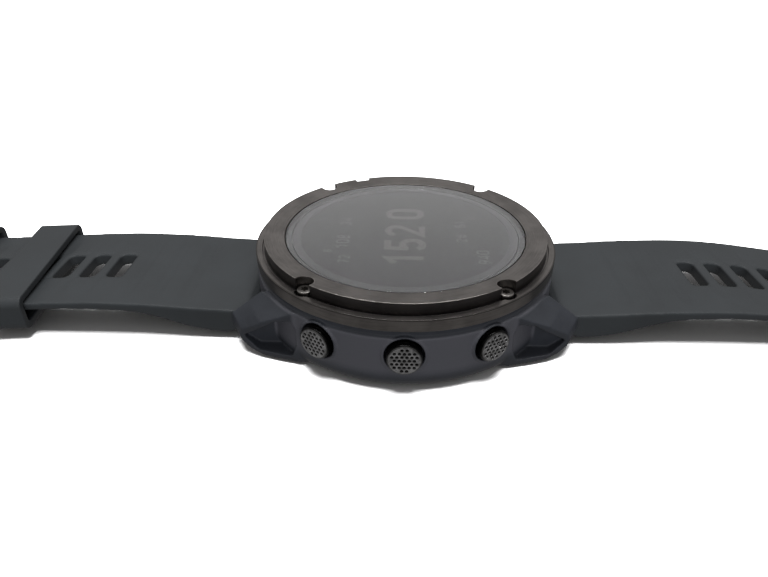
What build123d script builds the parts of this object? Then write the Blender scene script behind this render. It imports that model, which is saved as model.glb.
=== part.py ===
from build123d import *
import math
import os

# ---------------------------------------------------------------------------
# Round outdoor running watch on a 26 mm quick release silicone band.
# Origin: on the axis of the round case, at the level of the flat sensor window.
# +Z is up through the lens. -Y is the side with three buttons, +Y the side
# with two. -X is the 12 o'clock end (buckle strap), +X the 6 o'clock end
# (long strap). The band lies open, as on a table.
# ---------------------------------------------------------------------------

# case
case_r = 25.5            # outside radius of the side wall and bezel flange
neck_r = 24.9            # undercut below the bezel
cavity_r = 20.6
case_top = 11.05
case_low = 0.45
wall_low = 3.6           # the side wall turns inward below this height
neck_low = 9.7
back_seat_r = 20.1
back_open_r = 17.0

# bezel
bezel_mid = 13.05
bezel_top = 14.9         # outer edge; the upper face dips towards the lens
bezel_in = 14.5
tier_r = 24.0
step_r = 24.4
step_z = 12.75
lens_open_r = 20.6
shelf_r = 19.4
shelf_z = 12.9
screw_r = 23.5           # distance of the four bezel screws from the axis
screw_angle = 50.6       # degrees from the X axis
notch_r = 1.55
notch_z = 12.25

# lens and display
lens_r = 20.46
lens_low = 13.1
lens_top = 14.4
display_r = 17.8

# buttons
button_z = 6.8
button_face = 26.6
button_back = 24.1
cap_r = 2.65
pocket_r = 3.0
collar_r = 3.35
pocket_floor = 23.4
stem_r = 0.9
stem_end = 19.5
side_angle = 30.4        # side buttons, either side of the middle one
button_angles = {
    "light": -90 - side_angle,
    "up": -90.0,
    "down": -90 + side_angle,
    "start": 90 + side_angle,
    "back": 90 - side_angle,
}

# lugs and pins
lug_in = 13.1
lug_out = 16.3
pin_x = 26.0
pin_z = 3.8
pin_r = 0.9
pin_half = 15.0
swing_r = 3.2

# band
strap_half = 12.85
strap_arc = 26.1
strap_t = 2.3
channel_r = 0.96
knuckle_r = 1.6
slot_x = 3.0
slot_y = 8.0
slot_pitch = 4.9
slot_first = 51.2
long_slots = 18
short_slots = 8
tip_x = 150.0
buckle_x = -99.5
buckle_z = 2.3
buckle_pin_r = 0.75

os.makedirs("parts", exist_ok=True)


def save(builder, label):
    builder.part.label = label
    export_step(builder.part, "parts/" + label + ".step")


def radial(angle, s, z=button_z):
    """Plane facing outward at an angle about the case axis, s from the axis."""
    a = math.radians(angle)
    return Plane(origin=(s * math.cos(a), s * math.sin(a), z),
                 x_dir=(-math.sin(a), math.cos(a), 0), z_dir=(math.cos(a), math.sin(a), 0))


def polar(r, angle):
    a = math.radians(angle)
    return (r * math.cos(a), r * math.sin(a))


bezel_screw_spots = [polar(screw_r, a) for a in (screw_angle, 180 - screw_angle, 180 + screw_angle, -screw_angle)]
notch_spots = [polar(23.6, a) for a in (screw_angle, 180 - screw_angle, 180 + screw_angle, -screw_angle)]
back_screw_spots = [polar(18.4, a) for a in (45, 135, 225, 315)]

# --------------------------------------------------------------------- case
# One lug fairing: a ruled loft whose upper face falls away outward, trimmed by
# the plan outline, with a triangular pocket in its outer face.
lug_inner = [(10, 9.8), (22.9, 9.8), (25.2, 8.0), (28.1, 5.7), (28.3, 4.0), (27.6, 2.4), (25.5, 1.2),
             (23.0, 0.55), (18.0, 0.5), (10, 0.5)]
lug_outer = [(10, 9.8), (16.2, 9.8), (21.1, 6.6), (23.55, 3.35), (24.07, 2.75), (24.15, 2.1), (23.9, 1.3),
             (22.2, 0.65), (18.0, 0.55), (10, 0.5)]
lug_reach = 20.0         # where the outer profile stands
lug_plan = [(12.0, lug_in), (28.3, lug_in), (28.3, 14.9), (26.7, 16.1), (22.8, 17.8), (19.4, 18.8), (16.4, 19.55),
            (12.0, 19.0)]
lug_pocket = [(25.7, 3.5), (19.9, 7.6), (17.3, 8.2), (16.55, 6.5), (16.7, 3.6), (17.6, 1.5), (23.2, 1.5)]

with BuildPart() as lug:
    with BuildSketch(Plane.XZ.offset(-lug_in)) as lug_a:
        with BuildLine():
            Polyline(*lug_inner, close=True)
        make_face()
    with BuildSketch(Plane.XZ.offset(-lug_reach)) as lug_b:
        with BuildLine():
            Polyline(*lug_outer, close=True)
        make_face()
    loft(ruled=True)
    with BuildSketch(Plane.XY) as lug_p:
        with BuildLine():
            Polyline(*lug_plan, close=True)
        make_face()
    extrude(amount=12, mode=Mode.INTERSECT)
    with BuildSketch(Plane.XZ.offset(-40)) as lug_k:
        with BuildLine():
            Polyline(*lug_pocket, close=True)
        make_face()
        fillet(lug_k.vertices(), 0.5)
    extrude(amount=40 - 15.45, mode=Mode.SUBTRACT)

with BuildPart() as mid_case:
    # revolved body
    with BuildSketch(Plane.XZ) as case_s:
        with BuildLine():
            p0 = Line((back_open_r, 1.9), (back_seat_r, 1.9))
            p1 = Line(p0 @ 1, (back_seat_r, case_low))
            p2 = Line(p1 @ 1, (23.9, case_low))
            p3 = ThreePointArc(p2 @ 1, (24.95, 1.35), (case_r, wall_low))
            p4 = Line(p3 @ 1, (case_r, neck_low))
            p5 = Line(p4 @ 1, (neck_r, neck_low + 0.25))
            p6 = Line(p5 @ 1, (neck_r, case_top))
            p7 = Line(p6 @ 1, (back_open_r, case_top))
            Line(p7 @ 1, p0 @ 0)
        make_face()
    revolve(axis=Axis.Z)
    # four lugs
    add(lug.part)
    add(mirror(lug.part, about=Plane.XZ))
    add(mirror(lug.part, about=Plane.YZ))
    add(mirror(mirror(lug.part, about=Plane.XZ), about=Plane.YZ))
    # raised collars round the buttons
    for name, angle in button_angles.items():
        rise = 25.6 if name == "up" else 25.72
        with BuildSketch(radial(angle, 22.0)):
            Circle(collar_r)
        extrude(amount=rise - 22.0)
    # inner space
    with BuildSketch(Plane.XY.offset(2.9)):
        Circle(cavity_r)
    extrude(amount=20, mode=Mode.SUBTRACT)
    with BuildSketch(Plane.XY.offset(-5)):
        Circle(back_open_r)
    extrude(amount=12, mode=Mode.SUBTRACT)
    with BuildSketch(Plane.XY.offset(-5)):
        Circle(back_seat_r)
    extrude(amount=5 + 1.9, mode=Mode.SUBTRACT)
    # seat for the bezel
    with BuildSketch(Plane.XY.offset(case_top)):
        Circle(40)
    extrude(amount=10, mode=Mode.SUBTRACT)
    # bosses for the back cover screws
    for x, y in back_screw_spots:
        with BuildSketch(Plane.XY.offset(1.9)):
            with Locations((x, y)):
                Circle(1.7)
        extrude(amount=3.7)
        with BuildSketch(Plane.XY.offset(1.8)):
            with Locations((x, y)):
                Circle(0.56)
        extrude(amount=3.4, mode=Mode.SUBTRACT)
    # threaded holes for the bezel screws
    with BuildSketch(Plane.XY.offset(7.4)):
        with Locations(*bezel_screw_spots):
            Circle(0.56)
    extrude(amount=10, mode=Mode.SUBTRACT)
    # groove for the bezel gasket
    with BuildSketch(Plane.XY.offset(case_top - 0.4)):
        Circle(22.3)
        Circle(21.6, mode=Mode.SUBTRACT)
    extrude(amount=2, mode=Mode.SUBTRACT)
    # stepped bores for the five buttons
    for angle in button_angles.values():
        with BuildSketch(radial(angle, pocket_floor)):
            Circle(pocket_r)
        extrude(amount=8, mode=Mode.SUBTRACT)
        with BuildSketch(radial(angle, 22.2)):
            Circle(1.8)
        extrude(amount=4, mode=Mode.SUBTRACT)
        with BuildSketch(radial(angle, 18.0)):
            Circle(1.3)
        extrude(amount=6, mode=Mode.SUBTRACT)
    # room for the band ends to swing, and blind holes for the lug pins
    for side in (1, -1):
        with BuildSketch(Plane.XZ.offset(-lug_in)):
            with Locations((side * pin_x, pin_z)):
                Circle(swing_r)
        extrude(amount=2 * lug_in, mode=Mode.SUBTRACT)
        with BuildSketch(Plane.XZ.offset(-pin_half)):
            with Locations((side * pin_x, pin_z)):
                Circle(pin_r)
        extrude(amount=2 * pin_half, mode=Mode.SUBTRACT)
save(mid_case, "mid_case")

# -------------------------------------------------------------------- bezel
with BuildPart() as bezel:
    with BuildSketch(Plane.XZ):
        with BuildLine():
            Polyline((shelf_r, case_top), (case_r - 0.15, case_top), (case_r, case_top + 0.15),
                     (case_r, bezel_mid - 0.15), (case_r - 0.15, bezel_mid), (step_r, bezel_mid),
                     (step_r, step_z), (tier_r, step_z), (tier_r, bezel_top - 0.15), (tier_r - 0.15, bezel_top),
                     (lens_open_r + 0.12, bezel_in), (lens_open_r, bezel_in - 0.12),
                     (lens_open_r, shelf_z), (shelf_r, shelf_z), close=True)
        make_face()
    revolve(axis=Axis.Z)
    with BuildSketch(Plane.XY.offset(notch_z)):
        with Locations(*notch_spots):
            Circle(notch_r)
    extrude(amount=5, mode=Mode.SUBTRACT)
    # the notches open outward through the upper tier
    for a in (screw_angle, 180 - screw_angle, 180 + screw_angle, -screw_angle):
        with BuildSketch(Plane.XY.offset(notch_z)):
            with Locations(Pos(*polar(24.2, a)) * Rot(0, 0, a)):
                Rectangle(0.5, 3.0)
        extrude(amount=5, mode=Mode.SUBTRACT)
        with BuildSketch(Plane.XY.offset(bezel_mid)):
            with Locations(Pos(*polar(24.6, a)) * Rot(0, 0, a)):
                Rectangle(2.0, 3.0)
        extrude(amount=5, mode=Mode.SUBTRACT)
    with BuildSketch(Plane.XY.offset(10)):
        with Locations(*bezel_screw_spots):
            Circle(0.65)
    extrude(amount=5, mode=Mode.SUBTRACT)
    # small accent notch by the start button
    with BuildSketch(Plane.XY.offset(bezel_top - 0.8)):
        with Locations(Pos(*polar(23.85, 111.2)) * Rot(0, 0, 111.2)):
            Rectangle(1.5, 2.8)
    extrude(amount=2, mode=Mode.SUBTRACT)
save(bezel, "bezel")

with BuildPart() as bezel_gasket:
    with BuildSketch(Plane.XY.offset(case_top - 0.4)):
        Circle(22.25)
        Circle(21.65, mode=Mode.SUBTRACT)
    extrude(amount=0.4)
save(bezel_gasket, "bezel_gasket")

with BuildPart() as bezel_screws:
    with BuildSketch(Plane.XY.offset(7.6)):
        with Locations(*bezel_screw_spots):
            Circle(0.55)
    extrude(amount=notch_z - 7.6)
    with BuildSketch(Plane.XY.offset(notch_z)):
        with Locations(*bezel_screw_spots):
            Circle(1.15)
    extrude(amount=0.95)
    with BuildSketch(Plane.XY.offset(notch_z + 0.35)):
        with Locations(*bezel_screw_spots):
            RegularPolygon(0.62, 6)
    extrude(amount=2, mode=Mode.SUBTRACT)
    chamfer(bezel_screws.faces().filter_by(GeomType.PLANE).group_by(Axis.Z)[-1].edges().filter_by(GeomType.CIRCLE), 0.12)
save(bezel_screws, "bezel_screws")

# --------------------------------------------------------- lens and display
with BuildPart() as lens:
    with BuildSketch(Plane.XY.offset(lens_low)):
        Circle(lens_r)
    extrude(amount=lens_top - lens_low)
    chamfer(lens.edges().group_by(Axis.Z)[-1], 0.2)
save(lens, "lens")

with BuildPart() as lens_gasket:
    with BuildSketch(Plane.XY.offset(shelf_z)):
        Circle(20.4)
        Circle(19.45, mode=Mode.SUBTRACT)
    extrude(amount=lens_low - shelf_z)
save(lens_gasket, "lens_gasket")

with BuildPart() as solar_ring:
    with BuildSketch(Plane.XY.offset(12.8)):
        Circle(19.3)
        Circle(17.95, mode=Mode.SUBTRACT)
    extrude(amount=0.28)
save(solar_ring, "solar_ring")

with BuildPart() as display_panel:
    with BuildSketch(Plane.XY.offset(12.0)):
        Circle(display_r)
    extrude(amount=1.05)
save(display_panel, "display_panel")

with BuildPart() as light_guide:
    with BuildSketch(Plane.XY.offset(11.4)):
        Circle(display_r)
    extrude(amount=0.55)
save(light_guide, "light_guide")

with BuildPart() as display_frame:
    with BuildSketch(Plane.XY.offset(10.95)):
        Circle(19.3)
        Rectangle(18, 6, mode=Mode.SUBTRACT)
    extrude(amount=0.4)
    with BuildSketch(Plane.XY.offset(11.35)):
        Circle(19.3)
        Circle(17.9, mode=Mode.SUBTRACT)
    extrude(amount=1.4)
save(display_frame, "display_frame")

# -------------------------------------------------------------- electronics
with BuildPart() as main_board:
    with BuildSketch(Plane.XY.offset(9.8)):
        Circle(19.3)
        with PolarLocations(19.3, 4, start_angle=45):
            Circle(1.2, mode=Mode.SUBTRACT)
        with Locations((0, 17.6)):
            Rectangle(7, 3.6, mode=Mode.SUBTRACT)
    extrude(amount=0.8)
save(main_board, "main_board")

with BuildPart() as board_shield:
    with BuildSketch(Plane.XY.offset(8.5)):
        RectangleRounded(22, 17, 1.2)
    extrude(amount=1.3)
    with BuildSketch(Plane.XY.offset(8.65)):
        RectangleRounded(21.7, 16.7, 1.05)
    extrude(amount=1.2, mode=Mode.SUBTRACT)
save(board_shield, "board_shield")

with BuildPart() as gps_antenna:
    with BuildSketch(Plane.XY.offset(9.5)):
        Circle(20.35)
        Circle(19.75, mode=Mode.SUBTRACT)
        with Locations((0, 20)):
            Rectangle(14, 16, mode=Mode.SUBTRACT)
    extrude(amount=1.4)
save(gps_antenna, "gps_antenna")

with BuildPart() as battery:
    with BuildSketch(Plane.XY.offset(3.3)):
        RectangleRounded(26, 23.6, 3.0)
    extrude(amount=4.6)
    fillet(battery.edges().filter_by(Plane.XY).group_by(Axis.Z)[0], 0.6)
    fillet(battery.edges().filter_by(Plane.XY).group_by(Axis.Z)[-1], 0.6)
save(battery, "battery")

with BuildPart() as vibration_motor:
    with BuildSketch(Plane.YZ.offset(-4.6)):
        with Locations((15.0, 5.1)):
            Circle(2.0)
    extrude(amount=6.4)
    with BuildSketch(Plane.YZ.offset(1.8)):
        with Locations((15.0, 5.1)):
            Circle(0.4)
    extrude(amount=0.5)
    # off-centre weight
    with BuildSketch(Plane.YZ.offset(2.3)):
        with Locations((15.0, 5.1)):
            Circle(1.7)
        with Locations((15.0, 6.6)):
            Rectangle(4, 2, mode=Mode.SUBTRACT)
    extrude(amount=2.3)
save(vibration_motor, "vibration_motor")

with BuildPart() as buzzer:
    with BuildSketch(Plane.XY.offset(3.1)):
        with Locations((0, -16.1)):
            Circle(3.6)
    extrude(amount=0.3)
    with BuildSketch(Plane.XY.offset(3.4)):
        with Locations((0, -16.1)):
            Circle(2.7)
    extrude(amount=0.35)
save(buzzer, "buzzer")

with BuildPart() as side_switches:
    for angle in button_angles.values():
        with BuildSketch(radial(angle, 17.6)):
            Rectangle(3.4, 2.1)
        extrude(amount=1.1)
        with BuildSketch(radial(angle, 18.7)):
            Circle(0.6)
        extrude(amount=0.3)
save(side_switches, "side_switches")

# --------------------------------------------------------------- back cover
contact_x = 12.4
contact_ys = (-2.85, -0.95, 0.95, 2.85)

with BuildPart() as back_cover:
    with BuildSketch(Plane.XZ):
        with BuildLine():
            Polyline((8.2, 0.3), (14.6, 0.3), (16.2, case_low), (20.0, case_low), (20.0, 1.7), (8.2, 1.7), close=True)
        make_face()
    revolve(axis=Axis.Z)
    with BuildSketch(Plane.XY.offset(-1)):
        with Locations((contact_x, 0)):
            RectangleRounded(3.2, 10.0, 0.9)
    extrude(amount=5, mode=Mode.SUBTRACT)
    for x, y in back_screw_spots:
        with BuildSketch(Plane.XY.offset(0.5)):
            with Locations((x, y)):
                Circle(0.65)
        extrude(amount=2, mode=Mode.SUBTRACT)
        with BuildSketch(Plane.XY):
            with Locations((x, y)):
                Circle(1.2)
        extrude(amount=1.35, mode=Mode.SUBTRACT)
save(back_cover, "back_cover")

with BuildPart() as back_gasket:
    with BuildSketch(Plane.XY.offset(1.7)):
        Circle(19.95)
        Circle(19.15, mode=Mode.SUBTRACT)
    extrude(amount=0.2)
save(back_gasket, "back_gasket")

with BuildPart() as back_cover_screws:
    for x, y in back_screw_spots:
        with BuildSketch(Plane.XY.offset(0.92)):
            with Locations((x, y)):
                Circle(1.1)
        extrude(amount=0.43)
        with BuildSketch(Plane.XY.offset(1.35)):
            with Locations((x, y)):
                Circle(0.55)
        extrude(amount=3.6)
        with BuildSketch(Plane.XY.offset(0.5)):
            with Locations((x, y)):
                RegularPolygon(0.5, 6)
        extrude(amount=0.72, mode=Mode.SUBTRACT)
save(back_cover_screws, "back_cover_screws")

with BuildPart() as sensor_window:
    with BuildSketch(Plane.XZ):
        with BuildLine():
            Polyline((0, 0), (7.7, 0), (8.15, 0.3), (8.15, 1.7), (9.4, 1.7), (9.4, 2.1), (7.2, 2.1), (7.2, 1.1),
                     (0, 1.1), close=True)
        make_face()
    revolve(axis=Axis.Z)
save(sensor_window, "sensor_window")

with BuildPart() as sensor_board:
    with BuildSketch(Plane.XY.offset(2.15)):
        Circle(8.6)
    extrude(amount=0.8)
save(sensor_board, "sensor_board")

with BuildPart() as sensor_emitters:
    with BuildSketch(Plane.XY.offset(1.35)):
        with Locations((0, 0), (2.2, 0), (-2.2, 0)):
            Rectangle(1.3, 1.3)
        with Locations((0, 4.2), (0, -4.2)):
            Rectangle(3.2, 2.2)
        with Locations((5.2, 0), (-5.2, 0)):
            Rectangle(1.8, 3.2)
    extrude(amount=0.8)
save(sensor_emitters, "sensor_emitters")

with BuildPart() as contact_insulator:
    with BuildSketch(Plane.XY.offset(0.75)):
        with Locations((contact_x, 0)):
            RectangleRounded(3.2, 10.0, 0.9)
        with Locations(*[(contact_x, y) for y in contact_ys]):
            Circle(0.55, mode=Mode.SUBTRACT)
    extrude(amount=1.25)
save(contact_insulator, "contact_insulator")

with BuildPart() as charging_contacts:
    with BuildSketch(Plane.XY.offset(0.6)):
        with Locations(*[(contact_x, y) for y in contact_ys]):
            Circle(0.55)
    extrude(amount=1.8)
save(charging_contacts, "charging_contacts")

# ------------------------------------------------------------------ buttons
for name, angle in button_angles.items():
    with BuildPart() as button:
        with BuildSketch(radial(angle, button_back)):
            Circle(cap_r)
        extrude(amount=button_face - button_back)
        fillet(button.edges().group_by(Axis((0, 0, 0), radial(angle, 0).z_dir))[-1], 0.4)
        with BuildSketch(radial(angle, stem_end)):
            Circle(stem_r)
        extrude(amount=button_back - stem_end)
        with BuildSketch(radial(angle, 20.2)):
            Circle(stem_r + 0.2)
            Circle(0.62, mode=Mode.SUBTRACT)
        extrude(amount=0.3, mode=Mode.SUBTRACT)
    save(button, "button_" + name)

    with BuildPart() as clip:
        with BuildSketch(radial(angle, 20.22)):
            Circle(1.35)
            Circle(0.62, mode=Mode.SUBTRACT)
            with Locations((0, -1.2)):
                Rectangle(0.9, 2.4, mode=Mode.SUBTRACT)
        extrude(amount=0.26)
    save(clip, "clip_" + name)

    with BuildPart() as spring:
        with BuildLine():
            outward = radial(angle, 22.36)
            coil = Helix(pitch=0.52, height=1.56, radius=1.38, center=outward.origin, direction=outward.z_dir)
        with BuildSketch(Plane(origin=coil @ 0, z_dir=coil % 0)):
            Circle(0.13)
        sweep(path=coil, is_frenet=True)
    save(spring, "spring_" + name)

with BuildPart() as button_bushes:
    for angle in button_angles.values():
        with BuildSketch(radial(angle, 20.75)):
            Circle(1.3)
            Circle(0.96, mode=Mode.SUBTRACT)
        extrude(amount=0.7)
save(button_bushes, "button_bushes")

with BuildPart() as button_seals:
    for angle in button_angles.values():
        with BuildSketch(radial(angle, 21.5)):
            Circle(1.29)
            Circle(0.93, mode=Mode.SUBTRACT)
        extrude(amount=0.6)
save(button_seals, "button_seals")

# ----------------------------------------------------------------- lug pins
with BuildPart() as lug_pins:
    with BuildSketch(Plane.XZ.offset(-pin_half + 0.05)):
        with Locations((pin_x, pin_z), (-pin_x, pin_z)):
            Circle(pin_r)
    extrude(amount=2 * pin_half - 0.1)
save(lug_pins, "lug_pins")

# --------------------------------------------------------------- the straps
# Height of the upper face along the strap, measured from the case axis.
rise_top = [(26.0, 5.6), (30, 5.74), (35, 6.02), (39, 6.32), (43, 6.56), (47, 6.7), (52, 6.76), (56, 6.66)]
rise_low = [(26.0, 1.9), (29, 1.42), (32, 1.6), (35, 2.1), (38, 2.78), (41, 3.45), (46, 4.16), (52, 4.4), (56, 4.34)]
fall_top = [(60, 6.36), (64, 5.92), (68, 5.38), (72, 4.82), (76, 4.15), (80, 3.42), (84, 2.8), (88, 2.42), (93, 2.3)]
fall_low = [(60, 4.05), (64, 3.62), (68, 3.08), (72, 2.52), (76, 1.85), (80, 1.12), (84, 0.5), (88, 0.12), (93, 0.0)]
hold_top = [(60, 6.48), (66, 6.12), (72, 5.75), (78, 5.45), (84, 5.18), (90, 4.92), (95, 4.72), (99.5, 4.6)]
hold_low = [(60, 4.18), (66, 3.84), (72, 3.45), (78, 3.15), (84, 2.88), (89, 2.64), (92.5, 2.42), (95.5, 1.2), (99.5, 0.0)]


with BuildPart() as strap_long:
    with BuildSketch(Plane.XZ):
        with BuildLine():
            t1 = Spline(*(rise_top + fall_top), tangents=[(1, 0), (1, 0)])
            t2 = Line(t1 @ 1, (tip_x, strap_t))
            t3 = Line(t2 @ 1, (tip_x, 0))
            t4 = Line(t3 @ 1, (fall_low[-1][0], 0))
            t5 = Spline(*((rise_low + fall_low)[::-1]), tangents=[(-1, 0), (-1, 0)])
            Line(t5 @ 1, t1 @ 0)
        make_face()
    extrude(amount=strap_half, both=True)
    # rounded tip
    with BuildSketch(Plane.XY.offset(-1)) as tip_s:
        with Locations(((tip_x + 20) / 2, 0)):
            Rectangle(tip_x - 20, 2 * strap_half)
        fillet(tip_s.vertices().group_by(Axis.X)[-1], 9.0)
    extrude(amount=10, mode=Mode.INTERSECT)
    side = 1
    # concave end that follows the round case
    with BuildSketch(Plane.XY.offset(-2)):
        Circle(strap_arc)
    extrude(amount=12, mode=Mode.SUBTRACT)
    # knuckle over the pin
    with BuildSketch(Plane.XZ.offset(-strap_half)):
        with Locations((side * pin_x, pin_z)):
            Circle(knuckle_r)
    extrude(amount=2 * strap_half)
    with BuildSketch(Plane.XZ.offset(-20)):
        with Locations((side * pin_x, pin_z)):
            Circle(channel_r)
        with Locations((side * pin_x, pin_z - 2)):
            Rectangle(2 * channel_r, 4)
    extrude(amount=40, mode=Mode.SUBTRACT)
    # latch pocket, open below
    with BuildSketch(Plane.XY.offset(-1)):
        with Locations((side * 32.55, 0)):
            Rectangle(8.7, 15.0)
        with Locations((side * 27.5, 0)):
            Rectangle(5.0, 13.4)
    extrude(amount=1 + 2.95, mode=Mode.SUBTRACT)
    with BuildSketch(Plane.XY.offset(-1)):
        with Locations((side * 32.55, 0)):
            Rectangle(8.7, 15.0)
    extrude(amount=1 + 4.3, mode=Mode.SUBTRACT)
    with BuildSketch(Plane.XY.offset(-1)):
        with Locations(*[(slot_first + slot_pitch * i, 0) for i in range(long_slots)]):
            RectangleRounded(slot_x, slot_y, 0.9)
    extrude(amount=12, mode=Mode.SUBTRACT)
save(strap_long, "strap_long")

with BuildPart() as strap_buckle:
    with BuildSketch(Plane.XZ):
        with BuildLine():
            h1 = Spline(*[(-x, z) for x, z in rise_top + hold_top], tangents=[(-1, 0), (-1, 0)])
            h2 = ThreePointArc(h1 @ 1, (buckle_x - buckle_z, buckle_z), (buckle_x, 0.0))
            h3 = Spline(*[(-x, z) for x, z in (rise_low + hold_low)[::-1]], tangents=[(1, 0), (1, 0)])
            Line(h3 @ 1, h1 @ 0)
        make_face()
    extrude(amount=strap_half, both=True)
    side = -1
    # concave end that follows the round case
    with BuildSketch(Plane.XY.offset(-2)):
        Circle(strap_arc)
    extrude(amount=12, mode=Mode.SUBTRACT)
    # knuckle over the pin
    with BuildSketch(Plane.XZ.offset(-strap_half)):
        with Locations((side * pin_x, pin_z)):
            Circle(knuckle_r)
    extrude(amount=2 * strap_half)
    with BuildSketch(Plane.XZ.offset(-20)):
        with Locations((side * pin_x, pin_z)):
            Circle(channel_r)
        with Locations((side * pin_x, pin_z - 2)):
            Rectangle(2 * channel_r, 4)
    extrude(amount=40, mode=Mode.SUBTRACT)
    # latch pocket, open below
    with BuildSketch(Plane.XY.offset(-1)):
        with Locations((side * 32.55, 0)):
            Rectangle(8.7, 15.0)
        with Locations((side * 27.5, 0)):
            Rectangle(5.0, 13.4)
    extrude(amount=1 + 2.95, mode=Mode.SUBTRACT)
    with BuildSketch(Plane.XY.offset(-1)):
        with Locations((side * 32.55, 0)):
            Rectangle(8.7, 15.0)
    extrude(amount=1 + 4.3, mode=Mode.SUBTRACT)
    with BuildSketch(Plane.XY.offset(-1)):
        with Locations(*[(-(slot_first + slot_pitch * i), 0) for i in range(short_slots)]):
            RectangleRounded(slot_x, slot_y, 0.9)
    extrude(amount=12, mode=Mode.SUBTRACT)
    # hole for the buckle pin, notch for the tongue, narrowed end for the frame
    with BuildSketch(Plane.XZ.offset(-20)):
        with Locations((buckle_x, buckle_z)):
            Circle(buckle_pin_r + 0.05)
    extrude(amount=40, mode=Mode.SUBTRACT)
    with BuildSketch(Plane.XY.offset(-1)):
        with Locations((buckle_x - 0.15, 0)):
            Rectangle(10.7, 7.6)
    extrude(amount=12, mode=Mode.SUBTRACT)
save(strap_buckle, "strap_buckle")

# -------------------------------------------------- quick release latches
for side, label in ((1, "long"), (-1, "buckle")):
    with BuildPart() as insert:
        with BuildSketch(Plane.XY.offset(3.95)):
            with Locations((side * 32.55, 0)):
                Rectangle(8.7, 15.0)
        extrude(amount=0.35)
        with BuildSketch(Plane.XY.offset(3.4)):
            with Locations((side * 32.55, 7.05), (side * 32.55, -7.05)):
                Rectangle(8.7, 0.9)
            with Locations((side * 36.6, 0)):
                Rectangle(0.6, 15.0)
        extrude(amount=0.55)
    save(insert, "latch_insert_" + label)

    with BuildPart() as slider:
        with BuildSketch(Plane.XY.offset(2.75)):
            with Locations((side * 31.1, 0)):
                RectangleRounded(4.8, 12.6, 0.5)
        extrude(amount=1.1)
        with BuildSketch(Plane.XY.offset(2.25)):
            with Locations((side * 28.5, 0)):
                Rectangle(6.0, 12.6)
        extrude(amount=0.52)
        # finger tab
        with BuildSketch(Plane.XY.offset(1.3)):
            with Locations((side * 30.6, 0)):
                RectangleRounded(1.6, 7.0, 0.6)
        extrude(amount=1.05)
    save(slider, "latch_slider_" + label)

    with BuildPart() as latch_springs:
        for y in (-3.6, 3.6):
            with BuildLine():
                turns = Helix(pitch=0.6, height=2.5, radius=0.32, center=(side * 33.62, y, 3.4), direction=(side, 0, 0))
            with BuildSketch(Plane(origin=turns @ 0, z_dir=turns % 0)):
                Circle(0.09)
            sweep(path=turns, is_frenet=True)
    save(latch_springs, "latch_springs_" + label)

# ------------------------------------------------------------------ keepers
for name, x, z_low, z_high, length, turn in (("keeper_inner", -67.4, 1.8, 7.9, 7.2, 6.0),
                                             ("keeper_outer", -84.7, 1.1, 7.4, 7.4, 0.0)):
    t = math.radians(turn)
    with BuildPart() as keeper:
        place = Plane(origin=(x, 0, (z_low + z_high) / 2), x_dir=(-math.sin(t), math.cos(t), 0),
                      z_dir=(math.cos(t), math.sin(t), 0))
        with BuildSketch(place.offset(-length / 2)):
            RectangleRounded(29.4, z_high - z_low, 1.6)
            RectangleRounded(27.0, z_high - z_low - 2.4, 0.7, mode=Mode.SUBTRACT)
        extrude(amount=length)
    save(keeper, name)

# ------------------------------------------------------------------- buckle
with BuildPart() as buckle_frame:
    with BuildSketch(Plane.XY.offset(0.0)) as frame_s:
        with Locations((-105.3, 0)):
            RectangleRounded(15.4, 34.0, 3.2)
        with Locations((-102.85, 0)):
            RectangleRounded(13.5, 27.2, 1.0, mode=Mode.SUBTRACT)
        with Locations((-97.0, 0)):
            Rectangle(6.0, 26.6, mode=Mode.SUBTRACT)
    extrude(amount=3.4)
    fillet(buckle_frame.edges().filter_by(Plane.XY).group_by(Axis.Z)[-1], 0.8)
    with BuildSketch(Plane.XZ.offset(-20)):
        with Locations((buckle_x, buckle_z)):
            Circle(buckle_pin_r)
    extrude(amount=40, mode=Mode.SUBTRACT)
save(buckle_frame, "buckle_frame")

with BuildPart() as buckle_pin:
    with BuildSketch(Plane.XZ.offset(-16.6)):
        with Locations((buckle_x, buckle_z)):
            Circle(buckle_pin_r)
    extrude(amount=33.2)
save(buckle_pin, "buckle_pin")

with BuildPart() as buckle_tongue:
    with BuildSketch(Plane.XZ):
        with BuildLine():
            Polyline((buckle_x, 3.55), (-113.8, 5.15), (-114.3, 4.6), (-114.1, 3.62), (-110.4, 3.6), (-103.0, 1.9),
                     (buckle_x, 1.2), close=True)
        make_face()
        with Locations((buckle_x, buckle_z)):
            Circle(1.65)
            Circle(buckle_pin_r + 0.05, mode=Mode.SUBTRACT)
    extrude(amount=3.4, both=True)
save(buckle_tongue, "buckle_tongue")
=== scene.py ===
import bpy, bmesh, math
import numpy as np
from mathutils import Vector, Matrix


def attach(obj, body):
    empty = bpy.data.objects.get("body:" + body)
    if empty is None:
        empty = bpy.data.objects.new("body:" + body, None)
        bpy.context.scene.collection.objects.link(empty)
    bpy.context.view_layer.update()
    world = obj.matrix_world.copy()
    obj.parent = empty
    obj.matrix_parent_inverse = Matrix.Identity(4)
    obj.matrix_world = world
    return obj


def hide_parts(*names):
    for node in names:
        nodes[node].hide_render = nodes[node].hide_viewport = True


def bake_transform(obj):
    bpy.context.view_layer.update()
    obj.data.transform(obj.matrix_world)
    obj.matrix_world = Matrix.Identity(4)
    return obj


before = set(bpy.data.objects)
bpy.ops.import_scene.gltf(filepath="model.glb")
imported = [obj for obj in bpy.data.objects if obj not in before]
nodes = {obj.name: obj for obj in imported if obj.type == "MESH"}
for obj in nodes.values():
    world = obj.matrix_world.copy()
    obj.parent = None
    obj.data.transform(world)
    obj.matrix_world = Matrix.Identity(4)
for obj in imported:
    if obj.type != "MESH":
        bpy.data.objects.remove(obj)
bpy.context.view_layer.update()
MM = 0.001
D = math.radians

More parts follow.
